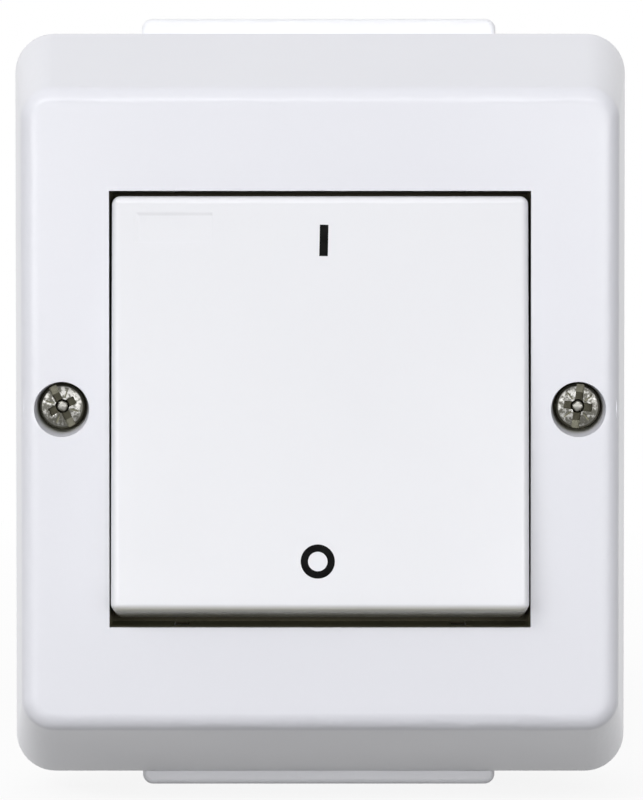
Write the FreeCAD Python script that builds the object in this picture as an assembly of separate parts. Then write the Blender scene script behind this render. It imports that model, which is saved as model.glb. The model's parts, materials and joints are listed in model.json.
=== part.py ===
import FreeCAD, Part
import math
import os

os.makedirs("parts", exist_ok=True)

# Surface-mounted weatherproof rocker switch, two-pole, shown switched on.
# X runs to the right and Z up. The wall is the plane y = 0 and the front faces -Y.
# A height is a distance in front of the wall. All sizes are in millimetres.

# Rocker plate
rocker_width = 55.0
rocker_height = 54.7
rocker_flare = 0.8            # the skirt's ends spread this far past the face
rocker_skirt = 9.4            # face to skirt edge
rocker_wall = 1.9
rocker_face_wall = 2.0
rocker_corner_radius = 1.15
rocker_edge_radius = 1.1
rocker_rise = 2.2             # face in front of the cover's face when level
rocker_rib_depth = 3.0
rocker_rib_wall = 1.2
rocker_rib_inset = 5.0        # skirt to the stiffening ribs
rocker_axis_depth = 9.6       # tilt axis behind the cover's face
rocker_tilt = 4.3             # degrees each way from level
panel_width = 10.1            # shallow bare panel on the rocker's face
panel_height = 3.9
panel_depth = 0.15
panel_side_inset = 3.15       # face edge to panel
panel_top_inset = 2.15

# Front cover
cover_depth = 27.0            # face to rim
rocker_side_gap = 0.36
rocker_end_gap = 1.5
face_side_margin = 11.59      # opening to the face's edge
face_end_margin = 13.3
side_taper = 2.65             # the walls lean out this far towards the rim
end_taper = 8.9
cover_wall = 2.2
face_wall = 2.4
face_corner_radius = 4.2
rim_corner_radius = 5.4
face_edge_radius = 2.7
collar_wall = 1.8
collar_depth = 10.7           # face to the collar's inner edge
cover_rib_wall = 1.4
cover_rib_depth = 7.0
cover_rib_offset = 18.5
groove_width = 2.0            # guide grooves inside the collar
groove_depth = 0.5
groove_start = 4.0

# Cover screws
screw_side_inset = 6.29       # opening to the screw's centre
recess_radius = 3.65          # at the mouth
recess_floor_radius = 3.25
recess_depth = 4.3
recess_wall = 1.55
recess_floor = 2.0            # plastic under the recess
screw_rise = 0.4              # the cover hangs this low on its two screws
cover_screw_radius = 1.75
cover_screw_length = 24.5
cover_head_radius = 2.95
cover_head_thickness = 2.2
cover_head_chamfer = 0.45
left_screw_turn = 27.0        # degrees, seen from the front
right_screw_turn = -7.5
cover_slot_width = 1.05
cover_slot_depth = 1.2
cover_cross_span = 3.7
seal_thickness = 0.8
seal_width = 1.25
screw_play = 0.05             # around every screw thread
hole_play = 0.25              # around a screw that passes through
cover_hole_play = 0.5

# Back box
box_depth = 22.2              # wall to the shoulder that carries the gasket
box_wall = 2.0
box_floor = 2.4
box_draft = 0.4
box_corner_radius = 4.0
lip_height = 3.0              # reach of the box wall inside the cover
lip_play = 0.35
flange_thickness = 2.6
flange_inset = 0.2
gasket_inset = 0.4
gasket_thickness = 0.8
gasket_width = 1.7
screw_boss_radius = 4.2
screw_boss_gap = 8.9          # underside of the cover's recess to the boss
post_radius = 3.4
post_rib_wall = 1.6
fixing_hole_radius = 2.3
fixing_collar_radius = 4.6
fixing_collar_height = 2.0
fixing_spacing_x = 56.0       # between hole centres
fixing_spacing_z = 76.0

# Cable entries, in a block at the top and at the bottom of the box
entry_block_width = 49.1
entry_block_shift = -0.2      # block's middle from the switch's middle
entry_block_reach = 2.25      # past the cover's rim
entry_block_step = 2.2        # shoulder to the block's front
entry_block_wall = 2.4
entry_corner_radius = 1.4
entry_edge_radius = 0.8
entry_spacing = 24.0
entry_seat_width = 1.2
entry_seat_depth = 1.0
grommet_play = 0.1
grommet_bead = 1.2
grommet_cone_length = 7.4
grommet_neck_wall = 1.1
grommet_taper = 1.2           # mouth radius less tip radius
grommet_wall = 0.9
grommet_step = 0.35           # on the outside, half-way along the cone

# Mechanism frame, with the cheeks that carry the cradle
frame_thickness = 2.4
frame_margin = 0.3
cheek_gap = 0.5
cheek_wall = 2.9
cheek_half_height = 4.2
cheek_cap = 3.2               # tilt axis to the cheek's rounded top
access_hole_radius = 3.2
insert_screw_inset = 2.3      # opening edge to the screw's centre
insert_screw_rise = 15.0
insert_screw_radius = 1.5
insert_head_radius = 2.8
insert_head_depth = 1.7
insert_screw_length = 18.0

# Sealing membrane
membrane_thickness = 1.3
membrane_skin = 0.8
membrane_play = 0.6
membrane_leg_play = 0.75
membrane_clearance = 0.35     # above the cradle when it tilts
bead_height = 0.8
bead_width = 1.2
bead_side_inset = 4.2
bead_end_inset = 6.6

# Cradle under the rocker
cradle_half_width = 15.0
cradle_half_height = 9.0
cradle_plate = 1.6
cradle_top = 4.4              # tilt axis to the plate's front
beam_half_height = 3.6
beam_drop = 1.4               # tilt axis to the beam's back
trunnion_radius = 2.0
pivot_play = 0.05
tube_wall = 0.85
tube_clearance = 4.9          # tube's open end to the levers' axis
leg_x = 11.5
leg_z = 6.5
leg_width = 3.0
leg_thickness = 1.8
leg_play = 0.15
barb_reach = 0.5
barb_depth = 1.2

# Plungers and springs
plunger_radius = 2.4
plunger_rear_drop = 3.4       # tilt axis to the plunger's rear face
spigot_radius = 1.4
spigot_length = 1.2
spring_wire = 0.5
spring_turns = 4.5
spring_sides = 6              # flats of the wire's section
spring_play = 0.1             # coil to tube and coil to its seats
tip_gap = 0.3                 # plunger tip above the level contact lever

# Contact levers
pole_spacing = 16.0
lever_axis_drop = 13.9        # tilt axis of the rocker to the levers' axis
lever_ratio = 1.6             # lever angle for each degree of the rocker
lever_half_width = 2.6
lever_thickness = 1.0
lever_flat = 4.0              # half-length of the middle stretch
lever_bend_end = 9.5
lever_drop = 0.4
lever_half_length = 13.4
lever_pin_radius = 0.8
lever_pin_end = 0.2           # past the ears
tip_offset = 11.5             # lever axis to the contact tips
tip_radius = 1.5
tip_height = 0.9
contact_gap = 0.15

# Fixed contacts and terminals
strip_thickness = 0.8
strip_half_width = 2.6
strip_drop = 4.9              # levers' axis to the underside of the strips
ear_gap = 0.3
ear_wall = 0.8
ear_half_length = 2.4
ear_cap = 1.3                 # lever axis to the ear's top
terminal_offset = 20.0
cage_half_width = 3.4
cage_half_length = 2.6
cage_wall = 1.0
cage_side_wall = 0.75
cage_top_wall = 1.4
cage_wire_space = 3.0
cage_screw_space = 3.8
terminal_screw_radius = 1.6
terminal_head_radius = 2.6
terminal_head_thickness = 2.0
terminal_head_rise = 4.2      # cage top to the head
terminal_slot_width = 0.8
terminal_slot_depth = 1.0

# Mechanism base
base_wall = 2.2
base_floor = 1.3
pocket_play = 0.3
lever_pocket_half_width = 4.4
lever_pocket_half_length = 14.5
base_flange = 2.2
flange_edge = 3.1             # screw centre to the flange's edge
flange_end = 4.5
base_corner_radius = 2.0
wire_hole_radius = 1.4

# Cutting shapes that run past a face, and the size below which a length counts as none
overrun = 1.0
near_zero = 0.001

# Heights and half-sizes that follow from the sizes above
rim_height = box_depth + gasket_thickness
body_depth = rim_height + cover_depth
axis_height = body_depth - rocker_axis_depth
lever_height = axis_height - lever_axis_drop
strip_height = lever_height - strip_drop
tube_low = lever_height + tube_clearance
opening_half_x = rocker_width / 2 + rocker_side_gap
opening_half_z = rocker_height / 2 + rocker_end_gap
face_half_x = opening_half_x + face_side_margin
face_half_z = opening_half_z + face_end_margin
rim_half_x = face_half_x + side_taper
rim_half_z = face_half_z + end_taper
side_wall_across = cover_wall * math.hypot(cover_depth, side_taper) / cover_depth
end_wall_across = cover_wall * math.hypot(cover_depth, end_taper) / cover_depth
collar_half_x = opening_half_x + collar_wall
collar_half_z = opening_half_z + collar_wall
collar_height = body_depth - collar_depth
frame_top = collar_height - membrane_thickness
frame_bottom = frame_top - frame_thickness
face_offset = rocker_axis_depth + rocker_rise
inner_face_offset = face_offset - rocker_face_wall
skirt_offset = face_offset - rocker_skirt
screw_x = opening_half_x + screw_side_inset
recess_height = body_depth - recess_depth
boss_height = recess_height - recess_floor - screw_boss_gap
head_height = recess_height + seal_thickness
lip_top = rim_height + lip_height
post_height = frame_bottom - base_flange
entry_block_height = box_depth - entry_block_step
entry_height = (entry_block_height + box_floor - entry_block_wall) / 2
entry_seat_radius = entry_height - box_floor
entry_hole_radius = entry_seat_radius - entry_seat_width
grommet_mouth_radius = entry_hole_radius - grommet_play - grommet_neck_wall
grommet_tip_radius = grommet_mouth_radius - grommet_taper
insert_x = opening_half_x - insert_screw_inset
pole_offset = pole_spacing / 2
lever_tilt = rocker_tilt * lever_ratio
strip_top = strip_height + strip_thickness
cage_bottom = strip_height - cage_wire_space - cage_wall
cage_top = strip_top + cage_screw_space + cage_top_wall
base_bottom = cage_bottom - pocket_play - base_floor
tube_radius = plunger_radius + pivot_play + tube_wall
cheek_inner = cradle_half_width + cheek_gap
cheek_outer = cheek_inner + cheek_wall
swing = math.sin(math.radians(rocker_tilt))
leg_points = [(sx * leg_x, sz) for sx in (-1, 1) for sz in (-1, 1)]
pole_points = (-pole_offset, pole_offset)
terminal_points = [(x, side * terminal_offset) for x in pole_points for side in (-1, 1)]
insert_points = [(sx * insert_x, sz * insert_screw_rise) for sx in (-1, 1) for sz in (-1, 1)]
fixing_points = [(sx * fixing_spacing_x / 2, sz * fixing_spacing_z / 2) for sx in (-1, 1) for sz in (-1, 1)]


def at(x, height, z):
    return FreeCAD.Vector(x, -height, z)


def block(x0, x1, low, high, z0, z1):
    return Part.makeBox(x1 - x0, high - low, z1 - z0, at(x0, high, z0))


def rod(x, z, radius, low, high):
    return Part.makeCylinder(radius, high - low, at(x, low, z), FreeCAD.Vector(0, -1, 0))


def cross_rod(x0, x1, height, z, radius):
    return Part.makeCylinder(radius, x1 - x0, at(x0, height, z), FreeCAD.Vector(1, 0, 0))


def upright_rod(x, height, radius, z0, z1):
    return Part.makeCylinder(radius, z1 - z0, at(x, height, z0), FreeCAD.Vector(0, 0, 1))


def rounded_wire(half_x, half_z, radius, height):
    """Rectangle with round corners, parallel to the wall."""
    corners = [(1, 1, 0), (-1, 1, 90), (-1, -1, 180), (1, -1, 270)]
    edges = []
    for sx, sz, start in corners:
        centre_x = sx * (half_x - radius)
        centre_z = sz * (half_z - radius)
        turn = [math.radians(start + step) for step in (0, 45, 90)]
        points = [at(centre_x + radius * math.cos(t), height, centre_z + radius * math.sin(t)) for t in turn]
        if edges:
            edges.append(Part.LineSegment(edges[-1].Vertexes[-1].Point, points[0]).toShape())
        edges.append(Part.Arc(*points).toShape())
    edges.append(Part.LineSegment(edges[-1].Vertexes[-1].Point, edges[0].Vertexes[0].Point).toShape())
    return Part.Wire(edges)


def plate(half_x, half_z, radius, low, high):
    face = Part.Face(rounded_wire(half_x, half_z, radius, low))
    return face.extrude(at(0, high - low, 0))


def tapered(low_size, low, high_size, high):
    return Part.makeLoft([rounded_wire(*low_size, low), rounded_wire(*high_size, high)], True, True)


def side_profile(points, x0, x1):
    """Prism along X from (height, z) points."""
    corners = [at(x0, height, z) for height, z in points]
    face = Part.Face(Part.makePolygon(corners + corners[:1]))
    return face.extrude(FreeCAD.Vector(x1 - x0, 0, 0))


def edges_at(shape, height):
    flat = []
    for edge in shape.Edges:
        middle = edge.valueAt((edge.FirstParameter + edge.LastParameter) / 2)
        ends = [vertex.Point for vertex in edge.Vertexes]
        if all(abs(point.y + height) < near_zero for point in ends + [middle]):
            flat.append(edge)
    return flat


def fused(shapes):
    return shapes[0].multiFuse(shapes[1:]).removeSplitter()


def tilted(shape, height, angle):
    turned = shape.copy()
    turned.rotate(at(0, height, 0), FreeCAD.Vector(1, 0, 0), angle)
    return turned


def cover_half(height):
    """Outer half-width and half-height of the cover at a height."""
    share = (height - rim_height) / cover_depth
    return rim_half_x - share * side_taper, rim_half_z - share * end_taper


def cover_inside(height):
    half_x, half_z = cover_half(height)
    return half_x - side_wall_across, half_z - end_wall_across


def cover_shell():
    outer = tapered((*cover_half(rim_height), rim_corner_radius), rim_height,
                    (*cover_half(body_depth), face_corner_radius), body_depth)
    outer = outer.makeFillet(face_edge_radius, edges_at(outer, body_depth))
    below = rim_height - cover_wall
    inside_top = body_depth - face_wall
    cavity = tapered((*cover_inside(below), rim_corner_radius - cover_wall), below,
                     (*cover_inside(inside_top), face_corner_radius - cover_wall), inside_top)
    ribs = []
    for sx in (-1, 1):
        for side in (-1, 1):
            near, far = sorted((side * opening_half_z, side * rim_half_z))
            middle = sx * cover_rib_offset
            rib = block(middle - cover_rib_wall / 2, middle + cover_rib_wall / 2,
                        inside_top - cover_rib_depth, inside_top, near, far)
            ribs.append(rib.common(cavity))
    return outer.cut(cavity), ribs


def screw_recess(x):
    """Funnel round a screw's head. Its floor is level with the screw and its mouth hangs lower."""
    forward = FreeCAD.Vector(0, -1, 0)
    floor = Part.Circle(at(x, recess_height, screw_rise), forward, recess_floor_radius)
    mouth = Part.Circle(at(x, body_depth, 0), forward, recess_radius)
    return Part.makeLoft([Part.Wire(floor.toShape()), Part.Wire(mouth.toShape())], True, True)


def make_front_cover():
    shell, ribs = cover_shell()
    collar = block(-collar_half_x, collar_half_x, collar_height, body_depth - face_wall / 2,
                   -collar_half_z, collar_half_z)
    bosses = [rod(side * screw_x, 0, recess_radius + recess_wall, recess_height - recess_floor,
                  body_depth - face_wall / 2) for side in (-1, 1)]
    cover = fused([shell, collar] + bosses + ribs)
    cuts = [block(-opening_half_x, opening_half_x, 0, body_depth, -opening_half_z, opening_half_z)]
    for side in (-1, 1):
        cuts.append(screw_recess(side * screw_x))
        cuts.append(rod(side * screw_x, 0, cover_screw_radius + cover_hole_play, rim_height, body_depth))
        middle = side * cover_rib_offset
        cuts.append(block(middle - groove_width / 2, middle + groove_width / 2, rim_height,
                          body_depth - groove_start, -opening_half_z - groove_depth,
                          opening_half_z + groove_depth))
    return cover.cut(cuts)


def make_cover_screws():
    """Cheese-head screws with a slot and a cross."""
    screws = []
    top = head_height + cover_head_thickness
    for side, turn in ((-1, left_screw_turn), (1, right_screw_turn)):
        x = side * screw_x
        head = rod(x, 0, cover_head_radius, head_height, top)
        head = head.makeChamfer(cover_head_chamfer, edges_at(head, top))
        shank = rod(x, 0, cover_screw_radius, head_height - cover_screw_length, head_height)
        slot = block(x - cover_slot_width / 2, x + cover_slot_width / 2, top - cover_slot_depth, top,
                     -cover_head_radius, cover_head_radius)
        cross = block(x - cover_cross_span / 2, x + cover_cross_span / 2, top - cover_slot_depth, top,
                      -cover_slot_width / 2, cover_slot_width / 2)
        screw = head.fuse(shank).cut([slot, cross]).removeSplitter()
        screw.rotate(at(x, 0, 0), FreeCAD.Vector(0, -1, 0), turn)
        screw.translate(at(0, 0, screw_rise))
        screws.append(screw)
    return Part.makeCompound(screws)


def make_screw_seals():
    rings = []
    inner = cover_screw_radius + hole_play / 2
    for side in (-1, 1):
        ring = rod(side * screw_x, screw_rise, inner + seal_width, recess_height, head_height)
        rings.append(ring.cut(rod(side * screw_x, screw_rise, inner, recess_height, head_height)))
    return Part.makeCompound(rings)


def lip_half(inset):
    inside_x, inside_z = cover_inside(lip_top)
    return inside_x - lip_play - inset, inside_z - lip_play - inset


def entry_block(side):
    """Block that holds two cable entries, before its pocket is cut."""
    inner = lip_half(box_wall)[1]
    outer = rim_half_z + entry_block_reach
    left = entry_block_shift - entry_block_width / 2
    solid = block(left, left + entry_block_width, 0, entry_block_height, inner, outer)
    upright = [edge for edge in solid.Edges if edge.BoundBox.ZMin > inner
               and max(edge.BoundBox.XLength, edge.BoundBox.ZLength) < near_zero]
    solid = solid.makeFillet(entry_corner_radius, upright)
    front = [edge for edge in edges_at(solid, entry_block_height) if edge.BoundBox.ZMax > inner + near_zero]
    solid = solid.makeFillet(entry_edge_radius, front)
    return solid if side > 0 else solid.mirror(FreeCAD.Vector(0, 0, 0), FreeCAD.Vector(0, 0, 1))


def entry_cuts(side):
    """Pocket behind the entries, their holes and their seats."""
    inner = lip_half(box_wall)[1]
    outer = rim_half_z + entry_block_reach
    left = entry_block_shift - entry_block_width / 2
    cuts = [block(left + entry_block_wall, left + entry_block_width - entry_block_wall, box_floor,
                  entry_block_height - entry_block_wall, inner - overrun, outer - entry_block_wall)]
    for sx in (-1, 1):
        x = sx * entry_spacing / 2
        cuts.append(upright_rod(x, entry_height, entry_hole_radius, inner, outer + overrun))
        cuts.append(upright_rod(x, entry_height, entry_seat_radius, outer - entry_seat_depth,
                                outer + overrun))
    if side > 0:
        return cuts
    return [cut.mirror(FreeCAD.Vector(0, 0, 0), FreeCAD.Vector(0, 0, 1)) for cut in cuts]


def make_back_box():
    foot = tuple(half - box_draft for half in lip_half(0))
    foot_inside = tuple(half - box_draft for half in lip_half(box_wall))
    inner_radius = box_corner_radius - box_wall
    walls = tapered((*foot, box_corner_radius), 0, (*lip_half(0), box_corner_radius), lip_top)
    room = tapered((*foot_inside, inner_radius), box_floor, (*lip_half(box_wall), inner_radius), lip_top)
    flange = plate(rim_half_x - flange_inset, rim_half_z - flange_inset, rim_corner_radius,
                   box_depth - flange_thickness, box_depth)
    shell = fused([walls, flange, entry_block(1), entry_block(-1)]).cut(room)
    shell = shell.cut(entry_cuts(1) + entry_cuts(-1))
    additions = []
    for x, z in insert_points:
        additions.append(rod(x, z, post_radius, box_floor / 2, post_height))
        side = math.copysign(1, x)
        near, far = sorted((x, side * (lip_half(box_wall)[0] + box_wall / 2)))
        additions.append(block(near, far, box_floor / 2, box_depth - flange_thickness,
                               z - post_rib_wall / 2, z + post_rib_wall / 2))
    for side in (-1, 1):
        additions.append(rod(side * screw_x, screw_rise, screw_boss_radius, box_floor / 2, boss_height))
    for x, z in fixing_points:
        additions.append(rod(x, z, fixing_collar_radius, box_floor / 2, box_floor + fixing_collar_height))
    shell = fused([shell] + additions)
    holes = [rod(x, z, fixing_hole_radius, 0, lip_top) for x, z in fixing_points]
    screw_tip = head_height - cover_screw_length - overrun
    holes += [rod(side * screw_x, screw_rise, cover_screw_radius + screw_play, screw_tip, boss_height)
              for side in (-1, 1)]
    insert_tip = frame_top - insert_screw_length - overrun
    holes += [rod(x, z, insert_screw_radius + screw_play, insert_tip, post_height) for x, z in insert_points]
    return shell.cut(holes)


def make_grommet(x, side):
    """Stepped rubber grommet, narrowing into the box."""
    outer = rim_half_z + entry_block_reach
    seat = outer - entry_seat_depth
    inner = outer - entry_block_wall
    bead = inner - grommet_play - grommet_bead
    tip = bead - grommet_cone_length
    middle_z = (bead + tip) / 2
    middle_radius = (grommet_mouth_radius + grommet_tip_radius) / 2
    neck = entry_hole_radius - grommet_play
    cone = grommet_mouth_radius + grommet_wall
    outline = [(grommet_mouth_radius, outer), (entry_seat_radius - grommet_play, outer),
               (entry_seat_radius - grommet_play, seat + grommet_play), (neck, seat + grommet_play),
               (neck, inner - grommet_play), (entry_seat_radius - grommet_play, inner - grommet_play),
               (entry_seat_radius - grommet_play, bead), (cone, bead),
               (middle_radius + grommet_wall + grommet_step, middle_z),
               (middle_radius + grommet_wall, middle_z),
               (grommet_tip_radius + grommet_wall, tip), (grommet_tip_radius, tip)]
    corners = [at(radius, 0, z) for radius, z in outline]
    ring = Part.Face(Part.makePolygon(corners + corners[:1]))
    grommet = ring.revolve(FreeCAD.Vector(0, 0, 0), FreeCAD.Vector(0, 0, 1), 360)
    if side < 0:
        grommet = grommet.mirror(FreeCAD.Vector(0, 0, 0), FreeCAD.Vector(0, 0, 1))
    grommet.translate(at(x, entry_height, 0))
    return grommet


def make_gasket():
    outer_x, outer_z = rim_half_x - gasket_inset, rim_half_z - gasket_inset
    ring = plate(outer_x, outer_z, rim_corner_radius - gasket_inset, box_depth, rim_height)
    hole = plate(outer_x - gasket_width, outer_z - gasket_width, rim_corner_radius - gasket_width,
                 box_depth, rim_height)
    return ring.cut(hole)


def dome_half(extra):
    """Inner half-sizes of the membrane's raised part, grown by extra."""
    reach = cradle_half_height + cradle_top * swing
    return cheek_outer + membrane_play + extra, reach + membrane_play + extra


def make_membrane():
    dome_floor = axis_height + cradle_top + cradle_half_height * swing + membrane_clearance
    dome_top = dome_floor + membrane_skin
    flange = plate(collar_half_x, collar_half_z, base_corner_radius, frame_top, collar_height)
    dome = plate(*dome_half(membrane_skin), base_corner_radius, frame_top, dome_top)
    bead_x = opening_half_x - bead_side_inset
    bead_z = opening_half_z - bead_end_inset
    bead = plate(bead_x, bead_z, base_corner_radius, frame_top, collar_height + bead_height)
    bead = bead.cut(plate(bead_x - bead_width, bead_z - bead_width, base_corner_radius - bead_width / 2,
                          frame_top, collar_height + bead_height))
    membrane = fused([flange, dome, bead])
    cuts = [plate(*dome_half(0), base_corner_radius - membrane_skin, frame_top, dome_floor)]
    for x, side in leg_points:
        z = side * leg_z
        cuts.append(block(x - leg_width / 2 - membrane_leg_play, x + leg_width / 2 + membrane_leg_play,
                          dome_floor, dome_top, z - leg_thickness / 2 - membrane_leg_play,
                          z + leg_thickness / 2 + membrane_leg_play))
    return membrane.cut(cuts)


def make_mechanism_frame():
    frame = plate(collar_half_x + frame_margin, collar_half_z + frame_margin, base_corner_radius,
                  frame_bottom, frame_top)
    cheeks = []
    for side in (-1, 1):
        near, far = sorted((side * cheek_inner, side * cheek_outer))
        cheeks.append(block(near, far, frame_bottom, axis_height, -cheek_half_height, cheek_half_height))
        cheeks.append(cross_rod(near, far, axis_height, 0, cheek_cap))
    frame = fused([frame] + cheeks)
    window_x = pole_offset + tube_radius + cheek_gap
    window_z = tube_radius + cheek_gap + (axis_height - frame_bottom) * swing
    cuts = [block(-window_x, window_x, 0, frame_top, -window_z, window_z),
            cross_rod(-cheek_outer, cheek_outer, axis_height, 0, trunnion_radius + pivot_play)]
    for x, z in terminal_points:
        cuts.append(rod(x, z, access_hole_radius, 0, frame_top))
    for x, z in insert_points:
        cuts.append(rod(x, z, insert_screw_radius + hole_play, 0, frame_top))
        cuts.append(insert_head(x, z, screw_play))
    return frame.cut(cuts)


def insert_head(x, z, play):
    """Countersunk head, flush with the front of the frame."""
    return Part.makeCone(insert_screw_radius + play, insert_head_radius + play, insert_head_depth,
                         at(x, frame_top - insert_head_depth, z), FreeCAD.Vector(0, -1, 0))


def make_insert_screws():
    screws = []
    for x, z in insert_points:
        shank = rod(x, z, insert_screw_radius, frame_top - insert_screw_length,
                    frame_top - insert_head_depth)
        slot = block(x - insert_head_radius, x + insert_head_radius, frame_top - insert_head_depth / 2,
                     frame_top, z - terminal_slot_width / 2, z + terminal_slot_width / 2)
        screws.append(shank.fuse(insert_head(x, z, 0)).cut(slot).removeSplitter())
    return Part.makeCompound(screws)


def make_mechanism_base():
    half_x = pole_offset + lever_pocket_half_width + base_wall
    pocket_half = cage_half_length + pocket_play
    half_z = terminal_offset + pocket_half + base_wall
    body = plate(half_x, half_z, base_corner_radius, base_bottom, frame_bottom)
    flange = plate(insert_x + flange_edge, insert_screw_rise + flange_end, flange_edge,
                   post_height, frame_bottom)
    base = body.fuse(flange).removeSplitter()
    cuts = []
    for x in pole_points:
        cuts.append(block(x - lever_pocket_half_width, x + lever_pocket_half_width,
                          strip_height, frame_bottom, -lever_pocket_half_length, lever_pocket_half_length))
        slot = strip_half_width + screw_play
        cuts.append(block(x - slot, x + slot, strip_height, strip_top + screw_play,
                          -terminal_offset, terminal_offset))
    for x, z in terminal_points:
        pocket_x = cage_half_width + pocket_play
        cuts.append(block(x - pocket_x, x + pocket_x, cage_bottom - pocket_play, frame_bottom,
                          z - pocket_half, z + pocket_half))
        near, far = sorted((z, math.copysign(half_z, z)))
        cuts.append(upright_rod(x, strip_height - cage_wire_space / 2, wire_hole_radius, near, far))
    for x, z in insert_points:
        cuts.append(rod(x, z, insert_screw_radius + hole_play, 0, frame_bottom))
    return base.cut(cuts)


def ear(x):
    """Upright ear with an open notch that the lever's pin rests in."""
    solid = block(x, x + ear_wall, strip_height, lever_height + ear_cap, -ear_half_length, ear_half_length)
    seat = lever_pin_radius + pivot_play
    notch = block(x, x + ear_wall, lever_height, lever_height + ear_cap, -seat, seat)
    return solid.cut([notch, cross_rod(x, x + ear_wall, lever_height, 0, seat)])


def make_feed_contact(x):
    inner = lever_half_width + ear_gap
    outer = inner + ear_wall
    strip = block(x - strip_half_width, x + strip_half_width, strip_height, strip_top,
                  -ear_half_length, terminal_offset + cage_half_length)
    foot = block(x - outer, x + outer, strip_height, strip_top, -ear_half_length, ear_half_length)
    return fused([strip, foot, ear(x - outer), ear(x + inner)])


def make_load_contact(x):
    return block(x - strip_half_width, x + strip_half_width, strip_height, strip_top,
                 -terminal_offset - cage_half_length, -lever_bend_end)


def fixed_tip_top():
    """The tips just clear each other with the lever at its closed end."""
    angle = math.radians(lever_tilt)
    reach = lever_thickness / 2 + lever_drop + tip_height
    return lever_height - reach * math.cos(angle) - (tip_offset + tip_radius) * math.sin(angle) - contact_gap


def make_fixed_tip(x):
    return rod(x, -tip_offset, tip_radius, strip_top, fixed_tip_top())


def make_terminal_cage(x, z):
    outer = block(x - cage_half_width, x + cage_half_width, cage_bottom, cage_top,
                  z - cage_half_length, z + cage_half_length)
    hollow = block(x - cage_half_width + cage_side_wall, x + cage_half_width - cage_side_wall,
                   cage_bottom + cage_wall, cage_top - cage_top_wall,
                   z - cage_half_length, z + cage_half_length)
    return outer.cut([hollow, rod(x, z, terminal_screw_radius + screw_play, strip_top, cage_top)])


def make_terminal_screws():
    screws = []
    head_low = cage_top + terminal_head_rise
    head_top = head_low + terminal_head_thickness
    for x, z in terminal_points:
        shank = rod(x, z, terminal_screw_radius, strip_top, head_low)
        head = rod(x, z, terminal_head_radius, head_low, head_top)
        slot = block(x - terminal_head_radius, x + terminal_head_radius, head_top - terminal_slot_depth,
                     head_top, z - terminal_slot_width / 2, z + terminal_slot_width / 2)
        screws.append(shank.fuse(head).cut(slot).removeSplitter())
    return Part.makeCompound(screws)


def make_contact_lever(x):
    """Bent strip that rocks on two pins."""
    half = lever_thickness / 2
    dropped = half - lever_drop
    front = [(half, -lever_flat), (dropped, -lever_bend_end), (dropped, -lever_half_length)]
    front += [(height - lever_thickness, z) for height, z in reversed(front)]
    mirrored = [(height, -z) for height, z in reversed(front)]
    points = [(lever_height + height, z) for height, z in front + mirrored]
    strip = side_profile(points, x - lever_half_width, x + lever_half_width)
    reach = lever_half_width + ear_gap + ear_wall + lever_pin_end
    pins = [cross_rod(x - reach, x - lever_half_width, lever_height, 0, lever_pin_radius),
            cross_rod(x + lever_half_width, x + reach, lever_height, 0, lever_pin_radius)]
    return tilted(fused([strip] + pins), lever_height, lever_tilt)


def make_moving_tip(x):
    top = lever_height - lever_thickness / 2 - lever_drop
    tip = rod(x, -tip_offset, tip_radius, top - tip_height, top)
    return tilted(tip, lever_height, lever_tilt)


def make_cradle():
    plate_low = axis_height + cradle_top - cradle_plate
    plate_top = axis_height + cradle_top
    solids = [block(-cradle_half_width, cradle_half_width, plate_low, plate_top,
                    -cradle_half_height, cradle_half_height),
              block(-cradle_half_width, cradle_half_width, axis_height - beam_drop, plate_low,
                    -beam_half_height, beam_half_height),
              cross_rod(-cheek_outer, cheek_outer, axis_height, 0, trunnion_radius)]
    for x in pole_points:
        solids.append(rod(x, 0, tube_radius, tube_low, plate_low))
    cradle = fused(solids)
    cuts = [rod(x, 0, plunger_radius + pivot_play, tube_low, plate_low) for x in pole_points]
    for x, side in leg_points:
        z = side * leg_z
        cuts.append(block(x - leg_width / 2 - leg_play, x + leg_width / 2 + leg_play, plate_low, plate_top,
                          z - leg_thickness / 2 - leg_play, z + leg_thickness / 2 + leg_play))
    return tilted(cradle.cut(cuts), axis_height, -rocker_tilt)


def rocker_shell():
    half_x = rocker_width / 2
    half_z = rocker_height / 2
    face = axis_height + face_offset
    edge = axis_height + skirt_offset
    inner = axis_height + inner_face_offset
    outer = side_profile([(edge, -half_z - rocker_flare), (edge, half_z + rocker_flare),
                          (face, half_z), (face, -half_z)], -half_x, half_x)
    uprights = [edge for edge in outer.Edges
                if edge.BoundBox.XLength < near_zero and edge.BoundBox.YLength > rocker_skirt / 2]
    outer = outer.makeFillet(rocker_corner_radius, uprights)
    outer = outer.makeFillet(rocker_edge_radius, edges_at(outer, face))
    room_x = half_x - rocker_wall
    room_z = half_z - rocker_wall
    room = side_profile([(edge, -room_z - rocker_flare), (edge, room_z + rocker_flare),
                         (inner, room_z), (inner, -room_z)], -room_x, room_x)
    return outer.cut(room), room


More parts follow.
